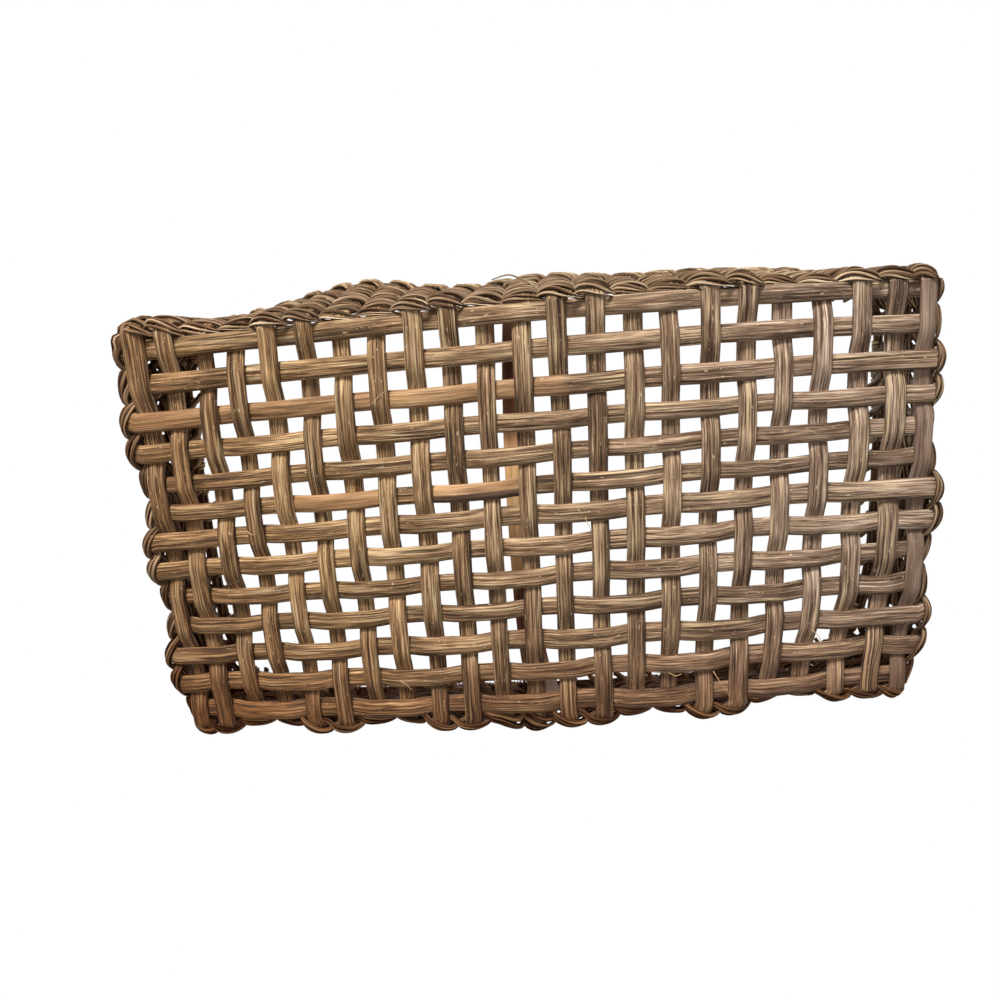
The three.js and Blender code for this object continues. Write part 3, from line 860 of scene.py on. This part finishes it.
def reed_end(stake, width):
    """Middle line of an upright reed end from the base edge to the rim, and the way across it."""
    turn_share = TURN * math.pi / 2 / WALL_RUN
    bent = np.linspace(0, turn_share, TURN_STEPS)[1:]
    upright = np.linspace(turn_share, 1, UPRIGHT_STEPS)[1:]
    shares = np.concatenate([bent, upright])
    line, face, up = stake_station(np.full(len(shares), stake), shares)
    across = unit(np.cross(up, face))
    return line, across * np.sign(across @ width)[:, None]


def reed_tube(kind, number):
    """One reed: up a wall, through the weave of the base and up the opposite wall."""
    rng = seeded(kind, number)
    if kind == "cross":
        places = np.array([long_place(j) for j in range(1, LONG_COUNT + 1)])
        low = np.array([cross_is_low(number, j) for j in range(1, LONG_COUNT + 1)])
        foot, centre = FOOT_Y, cross_place(number)
        first_stake = number - 1
        last_stake = CROSS_COUNT + LONG_COUNT + CROSS_COUNT - number
        width = np.array([1.0, 0.0, 0.0])
        rise = CROSS_RISE
    else:
        places = np.array([cross_place(i) for i in range(1, CROSS_COUNT + 1)])
        low = np.array([not cross_is_low(i, number) for i in range(1, CROSS_COUNT + 1)])
        foot, centre = FOOT_X, long_place(number)
        first_stake = STAKES - number
        last_stake = CROSS_COUNT + number - 1
        width = np.array([0.0, 1.0, 0.0])
        rise = LONG_RISE
    levels = WEAVE_MIDDLE + np.where(low, -rise, rise)
    start = -foot - STANDS[first_stake] + TURN
    end = foot + STANDS[last_stake] - TURN
    run, height = reed_run(places, levels, start, end)
    fixed = np.full(len(run), centre + ASIDE.get((kind, number), 0.0))
    if kind == "cross":
        base = np.column_stack([fixed, run, height])
    else:
        base = np.column_stack([run, fixed, height])
    first, first_across = reed_end(first_stake, width)
    last, last_across = reed_end(last_stake, width)
    line = np.vstack([first[::-1], base, last])
    across = np.vstack([first_across[::-1], np.broadcast_to(width, base.shape), last_across])
    gaps = np.linalg.norm(np.diff(line, axis=0), axis=1)
    distance = np.concatenate([[0], np.cumsum(gaps)])
    line = line + across * wander(rng, distance, WOBBLE_RUN, WOBBLE)[:, None]
    roll = wander(rng, distance, WOBBLE_RUN, ROLL)
    swell = 1 + wander(rng, distance, WOBBLE_RUN, SWELL)
    plain = oval(REED_WIDTH * WIDER.get((kind, number), 1.0), REED_THICK, REED_ROUNDNESS, REED_SIDES)
    ridges = np.stack([wander(rng, distance, RIDGE_RUN, RIDGE_DEPTH / 2) for _ in plain], axis=1)
    inward = unit(plain)[None] * ridges[..., None]
    shaped = plain[None] * swell[:, None, None] - np.clip(inward, -RIDGE_DEPTH, RIDGE_DEPTH)
    turned_x = shaped[..., 0] * np.cos(roll)[:, None] - shaped[..., 1] * np.sin(roll)[:, None]
    turned_y = shaped[..., 0] * np.sin(roll)[:, None] + shaped[..., 1] * np.cos(roll)[:, None]
    section = np.stack([turned_x, turned_y], axis=-1)
    skin = bare_skin(kind, number, line, plain)
    return tube(line, across, section, rng, skin=skin, tone=rng.normal(0, TONE_SPREAD))


def bare_skin(kind, number, line, plain):
    """Where the smooth skin is left on a reed: a stretch of its length and a share of its width. The
    rest of the width there gets a painted shadow band, which is a share below nought."""
    skin = np.zeros((len(line), len(plain)))
    run = line[:, 1] if kind == "cross" else line[:, 0]
    for of_kind, of_number, start, end, share, left in SKIN_STRETCHES:
        if (of_kind, of_number) == (kind, number):
            along = ease((run - start) / SKIN_FADE) * ease((end - run) / SKIN_FADE)
            edge = (share - 0.5) * REED_WIDTH
            over = 2 * ease((edge - plain[:, 0]) / SKIN_EDGE + 0.5) - 1
            skin = skin + left * along[:, None] * over[None]
    return skin


def make_reeds():
    for i in range(1, CROSS_COUNT + 1):
        node = f"cross_reed_{i:02d}"
        make_piece(f"fibrous_{node}", [reed_tube("cross", i)], REED, [node])
    for j in range(1, LONG_COUNT + 1):
        node = f"long_reed_{j:02d}"
        make_piece(f"fibrous_{node}", [reed_tube("long", j)], REED, [node])


def wall_line(stake, out, height):
    flat, direction = wall_at(stake, height)
    return np.column_stack([flat + direction * out[:, None], height])


def wall_strand(row, bundle, member):
    """One strand of a twined row: its bundle passes outside one stake and inside the next, and crosses
    the other bundle between them."""
    rng = seeded("wall", row, bundle, member)
    spacing = STRAND_SPACING if row else LOW_SPACING
    place = (member - (STRANDS_IN_BUNDLE - 1) / 2) * spacing
    share = (ROW_LOW + row * ROW_PITCH + place) / WALL_RUN
    every = np.arange(STAKES)
    found = np.hstack(stake_station(every, np.full(STAKES, share)))
    found = round_loop(found, STRAND_STEPS)
    middle, face, up = found[:, 0:3], unit(found[:, 3:6]), unit(found[:, 6:9])
    stake = np.arange(STAKES * STRAND_STEPS) / STRAND_STEPS
    phase = math.pi * (stake + row + bundle)
    drawn = np.append(rng.normal(0, STRAND_LOOSE, STAKES), 0)
    loose = np.interp(stake, np.arange(STAKES + 1), drawn)
    weave = np.sign(np.cos(phase)) * np.abs(np.cos(phase)) ** STRAND_HUG
    slant = np.interp(stake, every, rng.uniform(*SLANT_RANGE, STAKES), period=STAKES)
    rounding = np.zeros(STAKES)
    rounding[list(CORNER_ROUND)] = list(CORNER_ROUND.values())
    between = np.sin(math.pi * (stake % 1)) ** 2
    round_corner = rounding[stake.astype(int)] * between
    calm = 1 - CORNER_CALM * between * np.isin(stake.astype(int), list(CORNER_ROUND))
    turned = STRAND_PASS if row % 2 == 0 else -STRAND_PASS
    rise = (turned * slant * np.sin(phase) + loose) * calm
    outward = unit((face + up) * [1.0, 1.0, 0.0])
    line = middle + face * (STRAND_OUT * weave)[:, None] + up * rise[:, None]
    line = line + outward * round_corner[:, None]
    radius = STRAND_RADIUS * rng.uniform(*STRAND_SIZES)
    section = oval(2 * radius, 2 * radius, ROUND, STRAND_SIDES)
    # Painted shade on the strand's top and bottom, where it lies against the strands beside it
    gap_shade = onset(np.abs(section[:, 0]) / radius, *GAP_SHADE_FROM)
    gap_shade = np.broadcast_to(gap_shade, (len(line), STRAND_SIDES))
    return tube(line, up, section, rng, closed=True, skin=gap_shade, tone=rng.normal(0, TONE_SPREAD))


def make_wall():
    """One twined row of two bundles for each wall weaver."""
    for row in range(STRAND_ROWS):
        strands = [
            wall_strand(row, bundle, member)
            for bundle in range(BUNDLES)
            for member in range(STRANDS_IN_BUNDLE)
        ]
        node = f"wall_weaver_{row + 1:02d}"
        make_piece(f"twined_{node}", strands, STRAND, [node])


# One folded end of the border, as distance along the rim, out from its middle and height: it comes up
# inside the wall, over the top, and slants down outside to tuck in beside the next stake
FOLD_PATH = (
    (-1.0, -3.2, 73.5),
    (-0.8, -4.2, 78.0),
    (-0.4, -3.2, 82.6),
    (0.0, 0.0, 84.2),
    (1.0, 3.3, 82.6),
    (2.8, 4.6, 79.5),
    (6.0, 4.9, 75.8),
    (10.0, 4.5, 72.2),
    (13.0, 2.4, 69.5),
)
FOLD_STRANDS = 5
FOLD_SPACING = 2.0
FOLD_RADIUS = 0.95
FOLD_SIDES = 6
FOLD_STEPS = 3
FOLD_JITTER = 0.2
FOLD_DOWN = 5
FOLD_SLANT = 0.55
FOLD_TONE = (0.3, 0.6)

# How far apart along the rim the strands of a fold lie at each point of its path, as a share of their
# spacing
FOLD_FAN = (1.15, 1.15, 1.15, 1.15, 1.1, 1.0, 0.8, 0.7, 0.6)

# Strands that run round inside the border: height, distance out from the wall's middle, and radius
BORDER_CORES = ((80.2, 1.3, 2.2), (80.2, -1.6, 2.2), (77.2, 0.0, 2.4))
CORE_STEPS = 4
CORE_SIDES = 8
CORE_TONE = -1.0


def fold_strand(stake, member):
    """One strand of a folded end. Where the fold turns down, each lies lower than the one before."""
    rng = seeded("fold", stake, member)
    path = np.array(FOLD_PATH)
    shift = (member - (FOLD_STRANDS - 1) / 2) * FOLD_SPACING + rng.normal(0, FOLD_JITTER)
    path[:, 1:] += rng.normal(0, FOLD_JITTER, (len(path), 2))
    path[FOLD_DOWN:, 2] -= FOLD_SLANT * shift
    path[:, 0] += shift * np.array(FOLD_FAN)
    line = spline(path, FOLD_STEPS)
    line = wall_line(stake + line[:, 0] / CROSS_PITCH, line[:, 1], line[:, 2])
    along = np.array([*(wall_at(np.array([stake + 0.5]), np.array([STAKE_TOP]))[1][0]), 0.0])
    across = np.broadcast_to(np.cross([0.0, 0.0, 1.0], along), line.shape)
    section = oval(2 * FOLD_RADIUS, 2 * FOLD_RADIUS, ROUND, FOLD_SIDES)
    return tube(line, across, section, rng, tone=rng.normal(*FOLD_TONE))


def border_core(height, out, radius, key):
    rng = seeded("core", key)
    stake = np.arange(STAKES * CORE_STEPS) / CORE_STEPS
    line = wall_line(stake, np.full(len(stake), out), np.full(len(stake), height))
    up = np.broadcast_to([0.0, 0.0, 1.0], line.shape)
    section = oval(2 * radius, 2 * radius, ROUND, CORE_SIDES)
    return tube(line, up, section, rng, closed=True, tone=CORE_TONE)


# One trimmed end of the border on the inside of the wall, as distance along the rim, out and height
TIP_PATH = ((-3.0, -2.5, 68.0), (-0.5, -4.5, 71.0), (3.0, -7.0, 74.5), (6.5, -9.5, 77.5))
TIP_WIDTH = 6.0
TIP_THICK = 2.4
TIP_SQUARENESS = 3
TIP_SIDES = 10
TIP_STEPS = 3
TIP_JITTER = 0.8
TIP_TONE = (-0.2, 0.6)


def trimmed_tip(stake):
    rng = seeded("tip", stake)
    path = np.array(TIP_PATH)
    path[1:] += rng.normal(0, TIP_JITTER, (len(path) - 1, 3))
    line = spline(path, TIP_STEPS)
    line = wall_line(stake + line[:, 0] / CROSS_PITCH, line[:, 1], line[:, 2])
    across = np.broadcast_to([0.0, 0.0, 1.0], line.shape)
    section = oval(TIP_WIDTH, TIP_THICK, TIP_SQUARENESS, TIP_SIDES)
    return tube(line, across, section, rng, tone=rng.normal(*TIP_TONE))


def make_border():
    """Cores, and at each stake a fold and, except where a handle leg stands, a trimmed end."""
    parts = [border_core(*core, key) for key, core in enumerate(BORDER_CORES)]
    for stake in range(STAKES):
        parts.extend(fold_strand(stake, member) for member in range(FOLD_STRANDS))
        if stake not in HANDLE_STAKES:
            parts.append(trimmed_tip(stake))
    make_piece("rolled_rim_border", parts, BORDER, ["rim_border"])


# Torn fibres that still hang on a reed of the base, from the held end to the loose one
TORN_FIBRES = (
    ((-80, -69, 2.6), (-76, -72, 1.4), (-72, -75, 2.2)),
    ((153, 74, 2.0), (157, 78, 1.5), (159, 82, 1.6), (158, 85, 2.5)),
    ((100, 93, 2.7), (105, 100, 2.0), (111, 108, 1.8)),
    ((75, 92, 2.9), (79, 94, 3.1), (82, 93, 2.7)),
    ((26, -3, 2.5), (27, -2, 1.9), (28, 0, 1.8)),
    ((30, 2, 2.2), (31, 5, 2.3), (33, 10, 2.9)),
    ((-157, -5, 3.3), (-154, -3, 1.6), (-151, -3, 1.4)),
    ((-78, 89, 1.9), (-75, 91, 2.0), (-72, 95, 2.9)),
)
TORN_RADIUS = 0.28
LOOSE_TAPER = 0.6
LOOSE_STEPS = 6
LOOSE_SIDES = 6
LOOSE_TONE = (0.0, 0.6)

# A strand of the front wall that has broken and stands out, from the wall to its tip
BROKEN_STRAND = ((8, -120.5, 30), (1, -124.5, 30), (-6, -127.5, 30.5), (-15, -126, 31))
BROKEN_RADIUS = 0.6


def loose_end(points, radius, key):
    """A thin fibre along its points, thinner towards the loose end."""
    rng = seeded("loose", key)
    line = spline(points, LOOSE_STEPS)
    across = np.broadcast_to([0.0, 0.0, 1.0], line.shape)
    taper = np.linspace(1.0, LOOSE_TAPER, len(line))[:, None, None]
    section = oval(2 * radius, 2 * radius, ROUND, LOOSE_SIDES)[None] * taper
    return tube(line, across, section, rng, tone=rng.normal(*LOOSE_TONE))


def make_loose_ends():
    torn = [loose_end(points, TORN_RADIUS, key) for key, points in enumerate(TORN_FIBRES)]
    make_piece("torn_fibres", torn, STRAW, [])
    broken = loose_end(BROKEN_STRAND, BROKEN_RADIUS, len(TORN_FIBRES))
    make_piece("broken_wall_strand", [broken], STRAND, [])


def handle_lean(height):
    """How far the handle leans along the basket at a height."""
    return -HANDLE_LEAN * (height - LASHING_LOW) / (HANDLE_TOP - LASHING_LOW)


def half_hoop(side, crown):
    """Side view of one half of the hoop: a straight leg inside a long wall, then the arch."""
    outward = 1 if side == "back" else -1
    foot = np.array([outward * LEG_FOOT, LEG_LOW])
    shoulder = np.array([outward * LEG_SHOULDER[side], LEG_HIGH])
    pull_up = shoulder + ARCH_PULL * (crown[1] - LEG_HIGH) * unit(shoulder - foot)
    pull_out = np.array([crown[0] + ARCH_PULL * (shoulder[0] - crown[0]), crown[1]])
    t = np.linspace(0, 1, ARCH_STEPS)[:, None]
    arch = (1 - t) ** 3 * shoulder + 3 * (1 - t) ** 2 * t * pull_up
    arch = arch + 3 * (1 - t) * t**2 * pull_out + t**3 * crown
    leg = foot + np.linspace(0, 1, LEG_STEPS)[:-1, None] * (shoulder - foot)
    return np.vstack([leg, arch])


def handle_line():
    crown_y = (LEG_SHOULDER["back"] - LEG_SHOULDER["front"]) / 2
    crown = np.array([crown_y, HANDLE_TOP - HANDLE_THICK / 2])
    return np.vstack([half_hoop("front", crown), half_hoop("back", crown)[-2::-1]])


def make_handle():
    rng = seeded("handle")
    side_view = handle_line()
    line = np.column_stack([handle_lean(side_view[:, 1]), side_view])
    across = np.broadcast_to([1.0, 0.0, 0.0], line.shape)
    plain = oval(HANDLE_WIDTH, HANDLE_THICK, HANDLE_SQUARENESS, HANDLE_SIDES)
    gaps = np.linalg.norm(np.diff(line, axis=0), axis=1)
    distance = np.concatenate([[0], np.cumsum(gaps)])
    worn = np.stack([wander(rng, distance, WORN_RUN, WORN_DEPTH) for _ in plain], axis=1)
    section = plain[None] + unit(plain)[None] * worn[..., None]
    # Painted shade: darker towards the front leg and, less, towards the back leg
    shaded_share = onset(line[:, 1], *FRONT_LEG_SHADE) + BACK_LEG_SHADE_SHARE * onset(line[:, 1], *BACK_LEG_SHADE)
    skin = np.broadcast_to(shaded_share[:, None], section.shape[:2])
    hoop = tube(line, across, section, rng, skin=skin)
    make_piece("bent_handle_hoop", [hoop], WOOD, ["handle_hoop"])


def leg_place(wall, height):
    share = (height - LEG_LOW) / (LEG_HIGH - LEG_LOW)
    return LEG_FOOT + share * (LEG_SHOULDER[wall] - LEG_FOOT)


def lashing_turn(wall, height, slant, key):
    """One turn of strand round a stake and the handle leg."""
    rng = seeded("lashing", key)
    flare = BACK_FLARE if wall == "back" else FRONT_FLARE
    stake_y = FOOT_Y + (height - LEAN_FROM) / (STAKE_TOP - LEAN_FROM) * flare
    near = leg_place(wall, height) - HANDLE_THICK / 2 - LASHING_RADIUS
    far = stake_y + REED_THICK / 2 + LASHING_RADIUS
    left = handle_lean(height) - HANDLE_WIDTH / 2 - LASHING_RADIUS
    right = handle_lean(height) + HANDLE_WIDTH / 2 + LASHING_RADIUS
    loop = oval(right - left, far - near, LASHING_SQUARENESS, LASHING_STEPS)
    x = loop[:, 0] + (left + right) / 2
    y = loop[:, 1] + (near + far) / 2
    z = height + slant * loop[:, 0] / (right - left)
    line = np.column_stack([x, y if wall == "back" else -y, z])
    up = np.broadcast_to([0.0, 0.0, 1.0], line.shape)
    section = oval(2 * LASHING_RADIUS, 2 * LASHING_RADIUS, ROUND, LASHING_SIDES)
    return tube(line, up, section, rng, closed=True, tone=rng.normal(*LASHING_TONE))


def make_lashings():
    """Two lashings on each long wall, each of two slanting turns with its own seed."""
    seed = 0
    for wall in ("front", "back"):
        for place, height in LASHING_HEIGHTS.items():
            slant = LASHING_SLANT if place == "lower" else -LASHING_SLANT
            turns = []
            for turn in range(LASHING_TURNS):
                turn_height = height + (turn - (LASHING_TURNS - 1) / 2) * LASHING_TURN_PITCH
                turns.append(lashing_turn(wall, turn_height, slant, seed + turn))
            node = f"lashing_{wall}_{place}"
            make_piece(f"wound_{node}", turns, LASHING, [node])
            seed += LASHING_TURNS
        seed += WALL_SEED_GAP


def make_floor():
    """Pale ground, seen only from above so that the underside of the basket stays in view."""
    bpy.ops.mesh.primitive_plane_add(size=FLOOR_SIZE, location=(0, 0, -FLOOR_DROP))
    floor = bpy.context.object
    floor.name = "floor"
    material, tree = new_material("pale_floor")
    shade = add(tree, "ShaderNodeBsdfDiffuse", Color=FLOOR_COLOUR)
    clear = tree.nodes.new("ShaderNodeBsdfTransparent")
    back = add(tree, "ShaderNodeNewGeometry").outputs["Backfacing"]
    mixed = tree.nodes.new("ShaderNodeMixShader")
    tree.links.new(back, mixed.inputs[0])
    tree.links.new(shade.outputs[0], mixed.inputs[1])
    tree.links.new(clear.outputs[0], mixed.inputs[2])
    out = tree.nodes.new("ShaderNodeOutputMaterial")
    tree.links.new(mixed.outputs[0], out.inputs[0])
    floor.data.materials.append(material)
    floor.visible_diffuse = False
    floor.visible_glossy = False
    floor.visible_transmission = False
    floor.visible_shadow = False


def make_lamp(name, place, aim, size, power):
    data = bpy.data.lights.new(name, "AREA")
    data.size = size
    data.energy = power
    lamp = bpy.data.objects.new(name, data)
    lamp.location = place
    lamp.rotation_euler = (Vector(aim) - Vector(place)).to_track_quat("-Z", "Y").to_euler()
    lamp.visible_camera = False
    bpy.context.scene.collection.objects.link(lamp)


def make_world():
    """White to the camera and in gloss, a weak fill as light."""
    world = bpy.data.worlds.new("studio")
    bpy.context.scene.world = world
    world.use_nodes = True
    tree = world.node_tree
    tree.nodes.clear()
    fill = add(tree, "ShaderNodeBackground", Color=(1, 1, 1, 1), Strength=WORLD_FILL)
    white = add(tree, "ShaderNodeBackground", Color=(1, 1, 1, 1), Strength=1.0)
    path = add(tree, "ShaderNodeLightPath").outputs
    mirrored = calculate(tree, "MAXIMUM", path["Is Glossy Ray"], path["Is Transmission Ray"])
    seen = calculate(tree, "MAXIMUM", path["Is Camera Ray"], mirrored)
    mixed = tree.nodes.new("ShaderNodeMixShader")
    tree.links.new(seen, mixed.inputs[0])
    tree.links.new(fill.outputs[0], mixed.inputs[1])
    tree.links.new(white.outputs[0], mixed.inputs[2])
    out = tree.nodes.new("ShaderNodeOutputWorld")
    tree.links.new(mixed.outputs[0], out.inputs[0])


def make_camera():
    turn_x, turn_y, turn_z = (math.radians(angle) for angle in VIEW_TURN)
    about_x = Matrix.Rotation(turn_x, 3, "X")
    about_y = Matrix.Rotation(turn_y, 3, "Y")
    about_z = Matrix.Rotation(turn_z, 3, "Z")
    turn = about_z @ about_y @ about_x
    back = turn.transposed()
    place = (Vector((-MIDDLE_X, -MIDDLE_Y, WEAVE_MIDDLE)) - back @ Vector(VIEW_OFFSET)) * MM
    data = bpy.data.cameras.new("photo_view")
    data.sensor_width = SENSOR
    data.lens = FOCAL_PIXELS / PICTURE_SIZE * SENSOR
    data.clip_start = CAMERA_NEAR
    camera = bpy.data.objects.new("photo_view", data)
    axes = back @ Matrix.Diagonal((1, -1, -1))
    camera.matrix_world = Matrix.Translation(place) @ axes.to_4x4()
    bpy.context.scene.collection.objects.link(camera)
    bpy.context.scene.camera = camera


def make_light():
    make_world()
    for name, lamp in LAMPS.items():
        make_lamp(name, *lamp)


make_reeds()
make_wall()
make_border()
make_loose_ends()
make_handle()
make_lashings()
make_floor()
make_light()
make_camera()

scene = bpy.context.scene
scene.view_settings.view_transform = "Standard"
